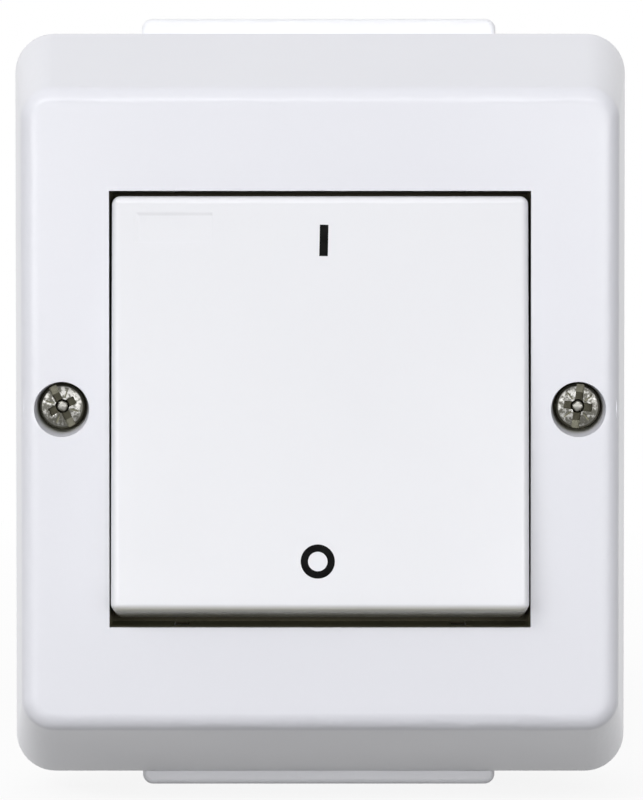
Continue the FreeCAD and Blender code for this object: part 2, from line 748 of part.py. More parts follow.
def make_rocker():
    shell, room = rocker_shell()
    inner = axis_height + inner_face_offset
    solids = [shell]
    rib_x = rocker_width / 2 - rocker_rib_inset
    rib_z = rocker_height / 2 - rocker_rib_inset * 2 + rocker_rib_wall
    for side in (-1, 1):
        along = block(side * rib_x - rocker_rib_wall / 2, side * rib_x + rocker_rib_wall / 2,
                      inner - rocker_rib_depth, inner, -rocker_height, rocker_height)
        across = block(-rocker_width, rocker_width, inner - rocker_rib_depth, inner,
                       side * rib_z - rocker_rib_wall / 2, side * rib_z + rocker_rib_wall / 2)
        solids += [along.common(room), across.common(room)]
    barb_top = axis_height + cradle_top - cradle_plate - leg_play
    for x, side in leg_points:
        near = side * (leg_z - leg_thickness / 2)
        far = side * (leg_z + leg_thickness / 2)
        hook = side * (leg_z + leg_thickness / 2 + leg_play + barb_reach)
        solids.append(block(x - leg_width / 2, x + leg_width / 2, barb_top - barb_depth,
                            inner + rocker_face_wall / 2,
                            min(near, far), max(near, far)))
        solids.append(side_profile([(barb_top, far), (barb_top, hook), (barb_top - barb_depth, far)],
                                   x - leg_width / 2, x + leg_width / 2))
    rocker = fused(solids)
    face = axis_height + face_offset
    left = -rocker_width / 2 + panel_side_inset
    top = rocker_height / 2 - panel_top_inset
    panel = block(left, left + panel_width, face - panel_depth, face, top - panel_height, top)
    return tilted(rocker.cut(panel), axis_height, -rocker_tilt)


def make_plunger(x):
    """Guided pin with a round tip and a spigot that centres the spring."""
    rear = axis_height - plunger_rear_drop
    tip = lever_height + lever_thickness / 2 + tip_gap
    centre = tip + plunger_radius
    solids = [rod(x, 0, plunger_radius, centre, rear),
              Part.makeSphere(plunger_radius, at(x, centre, 0)),
              rod(x, 0, spigot_radius, rear, rear + spigot_length)]
    return tilted(fused(solids), axis_height, -rocker_tilt)


def make_spring(x):
    low = axis_height - plunger_rear_drop + spring_wire / 2 + spring_play / 2
    high = axis_height + cradle_top - cradle_plate - spring_wire / 2 - spring_play / 2
    coil_radius = plunger_radius - spring_wire / 2 - spring_play
    pitch = (high - low) / spring_turns
    helix = Part.makeHelix(pitch, high - low, coil_radius)
    turns = [math.tau * side / spring_sides for side in range(spring_sides)]
    corners = [FreeCAD.Vector(coil_radius + spring_wire / 2 * math.cos(turn), 0,
                              spring_wire / 2 * math.sin(turn)) for turn in turns]
    profile = Part.makePolygon(corners + corners[:1])
    spring = Part.Wire(helix.Edges).makePipeShell([profile], True, True)
    spring.rotate(FreeCAD.Vector(0, 0, 0), FreeCAD.Vector(1, 0, 0), 90)
    spring.translate(at(x, low, 0))
    return tilted(spring, axis_height, -rocker_tilt)


nodes = {
    "back_box": make_back_box(),
    "box_gasket": make_gasket(),
    "front_cover": make_front_cover(),
    "cover_screws": make_cover_screws(),
    "cover_screw_seals": make_screw_seals(),
    "rocker_membrane": make_membrane(),
    "mechanism_frame": make_mechanism_frame(),
    "mechanism_base": make_mechanism_base(),
    "insert_screws": make_insert_screws(),
    "terminal_screws": make_terminal_screws(),
    "rocker": make_rocker(),
    "rocker_cradle": make_cradle(),
}

for side_name, x in zip(("left", "right"), pole_points):
    nodes["feed_contact_" + side_name] = make_feed_contact(x)
    nodes["load_contact_" + side_name] = make_load_contact(x)
    nodes["fixed_tip_" + side_name] = make_fixed_tip(x)
    nodes["contact_lever_" + side_name] = make_contact_lever(x)
    nodes["moving_tip_" + side_name] = make_moving_tip(x)
    nodes["plunger_" + side_name] = make_plunger(x)
    nodes["plunger_spring_" + side_name] = make_spring(x)
    for end_name, side in (("top", 1), ("bottom", -1)):
        nodes["terminal_cage_" + end_name + "_" + side_name] = make_terminal_cage(x, side * terminal_offset)

for side_name, sx in (("left", -1), ("right", 1)):
    for end_name, side in (("top", 1), ("bottom", -1)):
        nodes["cable_grommet_" + end_name + "_" + side_name] = make_grommet(sx * entry_spacing / 2, side)

for name, shape in nodes.items():
    shape.exportStep("parts/" + name + ".step")
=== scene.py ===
import bmesh
import bpy
import json
import math
from mathutils import Matrix, Vector


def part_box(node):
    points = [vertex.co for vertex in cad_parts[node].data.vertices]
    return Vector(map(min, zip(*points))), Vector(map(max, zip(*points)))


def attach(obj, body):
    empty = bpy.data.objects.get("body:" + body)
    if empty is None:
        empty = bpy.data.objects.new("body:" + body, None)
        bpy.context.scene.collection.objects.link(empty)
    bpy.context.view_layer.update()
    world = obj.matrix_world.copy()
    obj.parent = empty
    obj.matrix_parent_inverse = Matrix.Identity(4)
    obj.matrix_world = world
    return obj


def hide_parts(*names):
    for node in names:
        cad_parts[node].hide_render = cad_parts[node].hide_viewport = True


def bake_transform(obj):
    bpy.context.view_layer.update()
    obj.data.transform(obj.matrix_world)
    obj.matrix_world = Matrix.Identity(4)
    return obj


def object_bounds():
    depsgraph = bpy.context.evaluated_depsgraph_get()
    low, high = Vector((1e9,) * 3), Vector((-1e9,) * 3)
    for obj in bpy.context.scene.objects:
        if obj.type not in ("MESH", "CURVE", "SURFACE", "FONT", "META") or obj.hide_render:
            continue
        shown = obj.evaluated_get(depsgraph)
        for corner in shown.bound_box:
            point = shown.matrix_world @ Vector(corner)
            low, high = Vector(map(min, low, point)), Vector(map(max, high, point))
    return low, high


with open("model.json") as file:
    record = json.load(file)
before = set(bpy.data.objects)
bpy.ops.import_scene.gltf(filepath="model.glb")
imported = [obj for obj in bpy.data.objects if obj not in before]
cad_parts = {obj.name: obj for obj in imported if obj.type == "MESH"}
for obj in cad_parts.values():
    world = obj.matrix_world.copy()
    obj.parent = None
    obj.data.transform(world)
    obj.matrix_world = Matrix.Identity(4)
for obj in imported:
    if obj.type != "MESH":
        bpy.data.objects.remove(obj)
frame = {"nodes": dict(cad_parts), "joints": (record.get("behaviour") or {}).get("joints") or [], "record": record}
cadLow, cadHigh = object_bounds()
nodes = frame["nodes"]
joints = {joint["name"]: joint for joint in frame["joints"]}
bodyOf = {node: body for body, members in frame["record"]["behaviour"]["bodies"].items()
          for node in members}
slotOf = {part["node"]: part["material_slot"] for part in frame["record"]["subparts"]}
scene = bpy.context.scene
mm = 0.001
print("frame loaded with", len(nodes), "nodes")


# Small helpers for node trees

def setInput(node, name, value):
    if isinstance(value, bpy.types.NodeSocket):
        node.id_data.links.new(value, node.inputs[name])
    else:
        node.inputs[name].default_value = value


def addNode(tree, kind, settings=None, **values):
    node = tree.nodes.new(kind)
    for name, value in (settings or {}).items():
        setattr(node, name, value)
    for name, value in values.items():
        setInput(node, name.replace("_", " "), value)
    return node


def newGroup(name, inputs, outputs):
    tree = bpy.data.node_groups.new(name, "ShaderNodeTree")
    for title, kind, value in inputs:
        socket = tree.interface.new_socket(title, in_out="INPUT", socket_type="NodeSocket" + kind)
        socket.default_value = value
    for title, kind in outputs:
        tree.interface.new_socket(title, in_out="OUTPUT", socket_type="NodeSocket" + kind)
    start = tree.nodes.new("NodeGroupInput")
    end = tree.nodes.new("NodeGroupOutput")
    return tree, start.outputs, end


def mathNode(tree, operation, first, second):
    node = tree.nodes.new("ShaderNodeMath")
    node.operation = operation
    setInput(node, 0, first)
    setInput(node, 1, second)
    return node.outputs[0]


def vectorMath(tree, operation, first, second=(0, 0, 0)):
    node = tree.nodes.new("ShaderNodeVectorMath")
    node.operation = operation
    setInput(node, 0, first)
    setInput(node, 1, second)
    return node.outputs


def objectPlace(tree):
    return tree.nodes.new("ShaderNodeTexCoord").outputs["Object"]


# Effects that several materials share

def makeMouldGrain():
    # fine skin of a moulded surface, with slow drifts of tone and gloss
    tree, given, end = newGroup(
        "mouldGrain",
        [("Grain Size", "Float", 0.2 * mm), ("Drift Size", "Float", 30 * mm)],
        [("Height", "Float"), ("Drift", "Float")])
    where = objectPlace(tree)
    grainScale = mathNode(tree, "DIVIDE", 1.0, given["Grain Size"])
    driftScale = mathNode(tree, "DIVIDE", 1.0, given["Drift Size"])
    grain = addNode(tree, "ShaderNodeTexNoise", Vector=where, Scale=grainScale, Detail=2.0, Roughness=0.5)
    drift = addNode(tree, "ShaderNodeTexNoise", Vector=where, Scale=driftScale, Detail=3.0, Roughness=0.5)
    setInput(end, "Height", grain.outputs["Fac"])
    setInput(end, "Drift", drift.outputs["Fac"])
    return tree


def makeBrushing():
    # short scratches along one way, for plated and drawn metal
    tree, given, end = newGroup(
        "brushing",
        [("Line Width", "Float", 0.05 * mm), ("Stretch", "Vector", (1.0, 12.0, 1.0)),
         ("Tarnish Size", "Float", 2 * mm)],
        [("Lines", "Float"), ("Tarnish", "Float")])
    where = objectPlace(tree)
    stretched = vectorMath(tree, "DIVIDE", where, given["Stretch"])["Vector"]
    lineScale = mathNode(tree, "DIVIDE", 1.0, given["Line Width"])
    spotScale = mathNode(tree, "DIVIDE", 1.0, given["Tarnish Size"])
    lines = addNode(tree, "ShaderNodeTexNoise", Vector=stretched, Scale=lineScale, Detail=2.0)
    spots = addNode(tree, "ShaderNodeTexNoise", Vector=where, Scale=spotScale, Detail=4.0, Roughness=0.6)
    setInput(end, "Lines", lines.outputs["Fac"])
    setInput(end, "Tarnish", spots.outputs["Fac"])
    return tree


def makeDepthMask():
    # 0 on a plane, rising to 1 a given way below it
    tree, given, end = newGroup(
        "depthMask",
        [("Place", "Vector", (0, 0, 0)), ("Way", "Vector", (0, 1, 0)),
         ("Start", "Float", 0.0), ("Stop", "Float", 1 * mm)],
        [("Mask", "Float")])
    where = objectPlace(tree)
    offset = vectorMath(tree, "SUBTRACT", where, given["Place"])["Vector"]
    depth = vectorMath(tree, "DOT_PRODUCT", offset, given["Way"])["Value"]
    ramp = addNode(tree, "ShaderNodeMapRange", {"interpolation_type": "SMOOTHSTEP"}, Value=depth,
                   From_Min=given["Start"], From_Max=given["Stop"])
    setInput(end, "Mask", ramp.outputs["Result"])
    return tree


mouldGrain = makeMouldGrain()
brushing = makeBrushing()
depthMask = makeDepthMask()


# Materials

def startMaterial(name):
    material = bpy.data.materials.new(name)
    material.use_nodes = True
    tree = material.node_tree
    return material, tree, tree.nodes["Principled BSDF"]


def useGroup(tree, group, **values):
    node = tree.nodes.new("ShaderNodeGroup")
    node.node_tree = group
    for name, value in values.items():
        setInput(node, name, value)
    return node.outputs


def blendColours(tree, share, first, second):
    # the mix node's colours are its inputs 6 and 7 and its output 2
    mix = addNode(tree, "ShaderNodeMix", {"data_type": "RGBA"})
    setInput(mix, 0, share)
    for place, colour in ((6, first), (7, second)):
        setInput(mix, place, (*colour, 1.0) if isinstance(colour, tuple) else colour)
    return mix.outputs[2]


def spread(tree, value, low, high, start=0.35, stop=0.65):
    # value from start to stop becomes low to high, and stays there beyond them
    node = addNode(tree, "ShaderNodeMapRange", Value=value, From_Min=start, From_Max=stop,
                   To_Min=low, To_Max=high)
    return node.outputs["Result"]


def tint(material, mask, colour):
    # lays a colour over the present one where the mask is 1
    tree = material.node_tree
    shader = tree.nodes["Principled BSDF"]
    present = shader.inputs["Base Color"].links[0].from_socket
    setInput(shader, "Base Color", blendColours(tree, mask, present, colour))


def addBump(tree, shader, height, depth, **values):
    bump = addNode(tree, "ShaderNodeBump", Height=height, **values)
    bump.inputs["Distance"].default_value = depth
    bump.inputs["Strength"].default_value = 1.0
    setInput(shader, "Normal", bump.outputs["Normal"])


def plasticMaterial(name, look):
    look = {**plasticDefaults, **look}
    material, tree, shader = startMaterial(name)
    grain = useGroup(tree, mouldGrain, **{"Grain Size": look["grainSize"], "Drift Size": look["driftSize"]})
    drift = spread(tree, grain["Drift"], 0.0, 1.0)
    setInput(shader, "Base Color", blendColours(tree, drift, look["colour"], look["shade"]))
    setInput(shader, "Roughness", spread(tree, grain["Drift"], *look["gloss"]))
    addBump(tree, shader, grain["Height"], look["grainDepth"])
    shader.inputs["IOR"].default_value = look["shine"]
    shader.inputs["Coat Weight"].default_value = look["coat"]
    shader.inputs["Coat Roughness"].default_value = look["coatRoughness"]
    return material


def metalMaterial(name, look):
    material, tree, shader = startMaterial(name)
    marks = useGroup(tree, brushing, **{"Line Width": look["lineWidth"], "Stretch": look["stretch"],
                                        "Tarnish Size": look["tarnishSize"]})
    tarnish = spread(tree, marks["Tarnish"], 0.0, 1.0)
    setInput(shader, "Base Color", blendColours(tree, tarnish, look["colour"], look["shade"]))
    setInput(shader, "Roughness", spread(tree, marks["Tarnish"], *look["gloss"]))
    addBump(tree, shader, marks["Lines"], look["lineDepth"])
    shader.inputs["Metallic"].default_value = 1.0
    return material


# shine is the index of refraction
plasticDefaults = {"shine": 1.5, "coat": 0.0, "coatRoughness": 0.12}

plasticLooks = {
    "cover_plastic": {"colour": (0.80, 0.805, 0.86), "shade": (0.79, 0.795, 0.85), "gloss": (0.285, 0.33),
                      "grainSize": 0.18 * mm, "driftSize": 35 * mm, "grainDepth": 0.003 * mm, "coat": 0.15},
    "box_plastic": {"colour": (0.87, 0.875, 0.91), "shade": (0.86, 0.865, 0.90), "gloss": (0.34, 0.42),
                    "grainSize": 0.2 * mm, "driftSize": 30 * mm, "grainDepth": 0.004 * mm},
    "rocker_plastic": {"colour": (0.825, 0.83, 0.865), "shade": (0.815, 0.82, 0.855), "gloss": (0.28, 0.34),
                       "grainSize": 0.16 * mm, "driftSize": 28 * mm, "grainDepth": 0.002 * mm, "coat": 0.2},
    "mechanism_plastic": {"colour": (0.52, 0.54, 0.55), "shade": (0.47, 0.49, 0.50), "gloss": (0.42, 0.55),
                          "grainSize": 0.25 * mm, "driftSize": 12 * mm, "grainDepth": 0.008 * mm},
    "base_plastic": {"colour": (0.035, 0.035, 0.038), "shade": (0.05, 0.05, 0.052), "gloss": (0.38, 0.5),
                     "grainSize": 0.22 * mm, "driftSize": 10 * mm, "grainDepth": 0.008 * mm},
    "plunger_plastic": {"colour": (0.68, 0.64, 0.52), "shade": (0.62, 0.57, 0.44), "gloss": (0.3, 0.42),
                        "grainSize": 0.2 * mm, "driftSize": 4 * mm, "grainDepth": 0.004 * mm},
    "seal_rubber": {"colour": (0.052, 0.047, 0.026), "shade": (0.072, 0.066, 0.04), "gloss": (0.6, 0.75),
                    "grainSize": 0.3 * mm, "driftSize": 8 * mm, "grainDepth": 0.02 * mm, "shine": 1.3},
    "grommet_rubber": {"colour": (0.06, 0.06, 0.062), "shade": (0.085, 0.085, 0.085), "gloss": (0.55, 0.7),
                       "grainSize": 0.3 * mm, "driftSize": 5 * mm, "grainDepth": 0.02 * mm},
    "mark_ink": {"colour": (0.006, 0.006, 0.006), "shade": (0.012, 0.012, 0.012), "gloss": (0.35, 0.5),
                 "grainSize": 0.12 * mm, "driftSize": 2 * mm, "grainDepth": 0.002 * mm, "shine": 1.06},
}

metalLooks = {
    "zinc": {"colour": (0.62, 0.61, 0.57), "shade": (0.48, 0.47, 0.42), "gloss": (0.18, 0.34),
             "lineWidth": 0.08 * mm, "stretch": (1.0, 1.0, 1.0), "tarnishSize": 1.2 * mm,
             "lineDepth": 0.01 * mm},
    "spring_steel": {"colour": (0.45, 0.45, 0.46), "shade": (0.36, 0.36, 0.37), "gloss": (0.22, 0.32),
                     "lineWidth": 0.05 * mm, "stretch": (3.0, 3.0, 1.0), "tarnishSize": 2 * mm,
                     "lineDepth": 0.006 * mm},
    "cage_steel": {"colour": (0.58, 0.57, 0.52), "shade": (0.47, 0.45, 0.38), "gloss": (0.28, 0.42),
                   "lineWidth": 0.06 * mm, "stretch": (1.0, 1.0, 10.0), "tarnishSize": 2 * mm,
                   "lineDepth": 0.008 * mm},
    "brass": {"colour": (0.72, 0.52, 0.22), "shade": (0.58, 0.39, 0.15), "gloss": (0.22, 0.38),
              "lineWidth": 0.06 * mm, "stretch": (1.0, 1.0, 14.0), "tarnishSize": 3 * mm,
              "lineDepth": 0.006 * mm},
    "contact_silver": {"colour": (0.8, 0.79, 0.76), "shade": (0.66, 0.64, 0.58), "gloss": (0.2, 0.36),
                       "lineWidth": 0.06 * mm, "stretch": (1.0, 1.0, 1.0), "tarnishSize": 0.8 * mm,
                       "lineDepth": 0.004 * mm},
}

materials = {name: plasticMaterial(name, look) for name, look in plasticLooks.items()}
materials.update({name: metalMaterial(name, look) for name, look in metalLooks.items()})
print("materials made:", len(materials))


# Painted shade down in the rocker's opening, in the screw recesses, on the rocker's skirt and along its lower edge

rockerFace = -52.2 * mm    # Y of the level rocker's face

coverPaintedShade = {    # painted shade in the opening and the recesses; each rim says how deep the painted shade starts and how deep it is full
    "openingShadeColour": (0.25, 0.235, 0.155),
    "openingRim": (0.3 * mm, 1.6 * mm),
    "openingHalf": (28.1 * mm, 28.95 * mm),
    "recessShadeColour": (0.42, 0.41, 0.33),
    "recessRim": (0.9 * mm, 3.6 * mm),
    "recessRadius": 3.9 * mm,
}

# painted shade on the rocker's skirt and along its lower rounded edge
rockerPaintedShade = {
    "skirtShadeColour": (0.82, 0.815, 0.76),
    "skirtRim": (0.8 * mm, 1.4 * mm),
    "lowerEdgeShadeColour": (0.40, 0.395, 0.335),
    "lowerEnd": -27.35 * mm,
    "lowerRim": (-0.95 * mm, -0.05 * mm),    # measured downwards from that end
}


def rockerPlane():
    # turns a drawing in X and Z, made for the level rocker, to where the tilted rocker's face is
    hinge = joints["rocker_tilt"]
    pivot = Vector(hinge["pos_m"])
    tilt = -math.radians(hinge["range_deg"][1]) / 2
    return Matrix.Translation(pivot) @ Matrix.Rotation(tilt, 4, "X") @ Matrix.Translation(-pivot)


def screwPlaces():
    # where the CAD model has its two screw heads: the middle of each, at its front
    points = [vertex.co for vertex in nodes["cover_screws"].data.vertices]
    front = min(point.y for point in points)
    middles = []
    for side in (-1, 1):
        own = [point for point in points if point.x * side > 0]
        middles.append(Vector(((min(p.x for p in own) + max(p.x for p in own)) / 2, front,
                               (min(p.z for p in own) + max(p.z for p in own)) / 2)))
    return middles


def maskBelow(tree, place, way, rim):
    return useGroup(tree, depthMask, Place=place, Way=way, Start=rim[0], Stop=rim[1])["Mask"]


# painted shade: the cover's colour darkens down the wall of the rocker's opening and down the screw recesses
def shadeCover(settings):
    tree = materials["cover_plastic"].node_tree
    front = (0.0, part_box("front_cover")[0][1], 0.0)
    opening = maskBelow(tree, front, (0, 1, 0), settings["openingRim"])
    recess = maskBelow(tree, front, (0, 1, 0), settings["recessRim"])
    where = objectPlace(tree)
    folded = vectorMath(tree, "ABSOLUTE", where)["Vector"]
    parts = addNode(tree, "ShaderNodeSeparateXYZ", Vector=folded).outputs
    insideX = mathNode(tree, "LESS_THAN", parts["X"], settings["openingHalf"][0])
    insideZ = mathNode(tree, "LESS_THAN", parts["Z"], settings["openingHalf"][1])
    opening = mathNode(tree, "MULTIPLY", opening, mathNode(tree, "MULTIPLY", insideX, insideZ))
    screwX = screwPlaces()[1].x
    flat = vectorMath(tree, "MULTIPLY", folded, (1, 0, 1))["Vector"]
    away = vectorMath(tree, "DISTANCE", flat, (screwX, 0, 0))["Value"]
    recess = mathNode(tree, "MULTIPLY", recess, mathNode(tree, "LESS_THAN", away, settings["recessRadius"]))
    # lays the painted shade over the cover's own colour
    tint(materials["cover_plastic"], opening, settings["openingShadeColour"])
    tint(materials["cover_plastic"], recess, settings["recessShadeColour"])


# painted shade: darkens the rocker's skirt below its face, and its lower rounded edge
def shadeRocker(settings):
    tree = materials["rocker_plastic"].node_tree
    plane = rockerPlane()
    inwards, downwards = (plane.to_3x3() @ Vector(way) for way in ((0, 1, 0), (0, 0, -1)))
    skirt = maskBelow(tree, plane @ Vector((0, rockerFace, 0)), inwards, settings["skirtRim"])
    tint(materials["rocker_plastic"], skirt, settings["skirtShadeColour"])
    # painted shade along the lower rounded edge, where the skirt's painted shade is not already
    lowerEnd = plane @ Vector((0, rockerFace, settings["lowerEnd"]))
    below = maskBelow(tree, lowerEnd, downwards, settings["lowerRim"])
    onEdge = mathNode(tree, "SUBTRACT", below, mathNode(tree, "MULTIPLY", below, skirt))
    tint(materials["rocker_plastic"], onEdge, settings["lowerEdgeShadeColour"])


shadeCover(coverPaintedShade)
shadeRocker(rockerPaintedShade)


# Fine round ribs on the cable grommets

ribSettings = {"spacing": 1.15 * mm, "depth": 0.16 * mm}


def ribGrommets(settings):
    tree = materials["grommet_rubber"].node_tree
    low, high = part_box("cable_grommet_top_right")
    where = objectPlace(tree)
    folded = vectorMath(tree, "ABSOLUTE", where)["Vector"]
    flat = vectorMath(tree, "MULTIPLY", folded, (1, 1, 0))["Vector"]
    axis = (abs(low[0] + high[0]) / 2, abs(low[1] + high[1]) / 2, 0)
    away = vectorMath(tree, "DISTANCE", flat, axis)["Value"]
    wave = mathNode(tree, "SINE", mathNode(tree, "MULTIPLY", away, math.tau / settings["spacing"]), 0.0)
    addBump(tree, tree.nodes["Principled BSDF"], wave, settings["depth"] / 2,
            Normal=tree.nodes["Bump"].outputs["Normal"])


ribGrommets(ribSettings)


# Pieces

def finishPiece(name, bm, body, slot, standsFor=(), smoothAngle=32):
    mesh = bpy.data.meshes.new(name)
    for edge in bm.edges:
        edge.smooth = len(edge.link_faces) == 2 and edge.calc_face_angle(0) < math.radians(smoothAngle)
    for face in bm.faces:
        face.smooth = True
    bm.to_mesh(mesh)
    bm.free()
    piece = bpy.data.objects.new(name, mesh)
    scene.collection.objects.link(piece)
    mesh.materials.append(materials[slot])
    weighted = piece.modifiers.new("evenShading", "WEIGHTED_NORMAL")
    weighted.weight = 100
    weighted.keep_sharp = True
    if body:
        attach(piece, body)
    for node in standsFor:
        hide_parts(node)
    return piece


def cleanCopy(node, nearby=0.0005 * mm, flatAngle=0.3):
    bm = bmesh.new()
    bm.from_mesh(nodes[node].data)
    bmesh.ops.remove_doubles(bm, verts=bm.verts, dist=nearby)
    bmesh.ops.dissolve_limit(bm, angle_limit=math.radians(flatAngle), verts=bm.verts, edges=bm.edges,
                             use_dissolve_boundaries=False, delimit=set())
    return bm


def softenEdges(bm, width, sharperThan=40, among=None):
    sharp = [edge for edge in (among or bm.edges) if edge.calc_face_angle(0) > math.radians(sharperThan)]
    bmesh.ops.bevel(bm, geom=sharp, affect="EDGES", offset_type="OFFSET", offset=width, segments=2,
                    profile=0.5, material=-1, clamp_overlap=True)


edgeWidths = {
    "front_cover": 0.12 * mm,
    "back_box": 0.15 * mm,
    "rocker": 0.1 * mm,
    "cable_grommet_top_left": 0.25 * mm,
    "cable_grommet_top_right": 0.25 * mm,
    "cable_grommet_bottom_left": 0.25 * mm,
    "cable_grommet_bottom_right": 0.25 * mm,
}

# the tolerances find the CAD model's corners
recessSettings = {"depth": 4.3 * mm, "floorRadius": 3.25 * mm, "newRadius": 3.06 * mm,
                  "depthTolerance": 0.01 * mm, "radiusTolerance": 0.03 * mm}
panelSettings = {"depth": 0.15 * mm, "newDepth": 0.1 * mm, "slope": 0.4 * mm, "depthTolerance": 0.01 * mm}


def openRecesses(bm, settings):
    # the floor of each screw recess gets narrower, so its wall leans more
    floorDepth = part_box("front_cover")[0][1] + settings["depth"]
    floor = [vert for vert in bm.verts if abs(vert.co.y - floorDepth) < settings["depthTolerance"]]
    for place in screwPlaces():
        for vert in floor:
            away = Vector((vert.co.x - place.x, 0.0, vert.co.z - place.z))
            if abs(away.length - settings["floorRadius"]) < settings["radiusTolerance"]:
                vert.co += away.normalized() * (settings["newRadius"] - settings["floorRadius"])


def softenPanel(bm, settings):
    # the wall round the shallow panel becomes a gentle slope
    plane = rockerPlane()
    level = plane.inverted()
    floor = [vert for vert in bm.verts
             if abs((level @ vert.co).y - rockerFace - settings["depth"]) < settings["depthTolerance"]]
    middle = sum(((level @ vert.co) for vert in floor), Vector()) / len(floor)
    for vert in floor:
        flat = level @ vert.co
        flat.x += math.copysign(settings["slope"], middle.x - flat.x)
        flat.z += math.copysign(settings["slope"], middle.z - flat.z)
        flat.y += settings["newDepth"] - settings["depth"]
        vert.co = plane @ flat
    print("panel corners softened:", len(floor))


for node, width in edgeWidths.items():
    bm = cleanCopy(node)
    if node == "front_cover":
        openRecesses(bm, recessSettings)
    if node == "rocker":
        softenPanel(bm, panelSettings)
    softenEdges(bm, width)
    finishPiece(node + "_shell", bm, bodyOf[node], slotOf[node], [node])


def makeSpring(side):
    # a smoothed copy of the plunger spring stands in for it; the copy is attached to no body, so it stays where it
    # is
    node = "plunger_spring_" + side
    piece = finishPiece(node + "_coil", cleanCopy(node), None, slotOf[node], [node])
    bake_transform(piece)


for side in ("left", "right"):
    makeSpring(side)

for node, part in nodes.items():
    part.data.materials.clear()
    part.data.materials.append(materials[slotOf[node]])
print("pieces made")


# Metal of the cover screws: bright on top, with painted shade that darkens it in the cuts and round the edge

screwMetal = {
    "depths": [    # depth below the front of the head, and the colour there; the darker colours deeper down are painted shade
        (0.00 * mm, (0.37, 0.365, 0.35)),
        (0.16 * mm, (0.34, 0.335, 0.32)),
        (0.22 * mm, (0.10, 0.097, 0.070)),
        (0.50 * mm, (0.12, 0.115, 0.082)),
        (0.62 * mm, (0.30, 0.295, 0.28)),
        (0.80 * mm, (0.20, 0.195, 0.17)),
        (0.92 * mm, (0.10, 0.097, 0.075)),
        (1.00 * mm, (0.09, 0.087, 0.068)),
        (1.12 * mm, (0.045, 0.043, 0.032)),
        (1.60 * mm, (0.025, 0.023, 0.015)),
    ],
    "dull": (0.065, 0.063, 0.052),
    "dullShare": 0.95,
    "dullDepths": (0.16 * mm, 0.22 * mm),    # where the dull spots start to end, and where they have ended
    "spotSize": 0.6 * mm,
    "spotRange": (0.40, 0.54),
    "paintedHighlightSide": (0.5, 0.85),    # how far inwards and upwards the side with the painted highlight faces
    "paintedHighlightShare": 0.07,
    "scratchSize": 0.05 * mm,
    "scratchStretch": (1.0, 1.0, 6.0),
    "scratchDepth": 0.003 * mm,
    "gloss": (0.26, 0.42),
}


def screwMaterial(settings, middle, radius):
    material, tree, shader = startMaterial("turnedZinc")
    parts = addNode(tree, "ShaderNodeSeparateXYZ", Vector=objectPlace(tree)).outputs
    front = middle.y
    deepest = settings["depths"][-1][0]
    depth = spread(tree, parts["Y"], 0.0, 1.0, front, front + deepest)
    # painted shade: the ramp darkens the cuts, the well and the edge of the head with depth
    ramp = addNode(tree, "ShaderNodeValToRGB", Fac=depth)
    stops = ramp.color_ramp.elements
    while len(stops) < len(settings["depths"]):
        stops.new(1.0)
    for stop, (place, colour) in zip(stops, settings["depths"]):
        stop.position = place / deepest
        stop.color = (*colour, 1.0)
    marks = useGroup(tree, brushing, **{"Line Width": settings["scratchSize"],
                                        "Stretch": settings["scratchStretch"],
                                        "Tarnish Size": settings["spotSize"]})
    # painted highlight: the side of each head that turns up and inwards has fewer dull spots, so it shows lighter
    inwards = mathNode(tree, "SUBTRACT", abs(middle.x), mathNode(tree, "ABSOLUTE", parts["X"], 0.0))
    upwards = mathNode(tree, "SUBTRACT", parts["Z"], middle.z)
    paintedHighlight = mathNode(tree, "ADD", mathNode(tree, "MULTIPLY", inwards, settings["paintedHighlightSide"][0]),
                      mathNode(tree, "MULTIPLY", upwards, settings["paintedHighlightSide"][1]))
    paintedHighlight = mathNode(tree, "MULTIPLY", paintedHighlight, settings["paintedHighlightShare"] / radius)
    tarnish = mathNode(tree, "SUBTRACT", marks["Tarnish"], paintedHighlight)
    spots = spread(tree, tarnish, 0.0, 1.0, *settings["spotRange"])
    start, stop = settings["dullDepths"]
    shallow = spread(tree, parts["Y"], settings["dullShare"], 0.0, front + start, front + stop)
    dull = mathNode(tree, "MULTIPLY", spots, shallow)
    setInput(shader, "Base Color", blendColours(tree, dull, ramp.outputs["Color"], settings["dull"]))
    setInput(shader, "Roughness", spread(tree, marks["Tarnish"], *settings["gloss"]))
    addBump(tree, shader, marks["Lines"], settings["scratchDepth"])
    shader.inputs["Metallic"].default_value = 1.0
    return material


# The two cover screws, with a slot, a cross, fine corner cuts and a pip in the middle

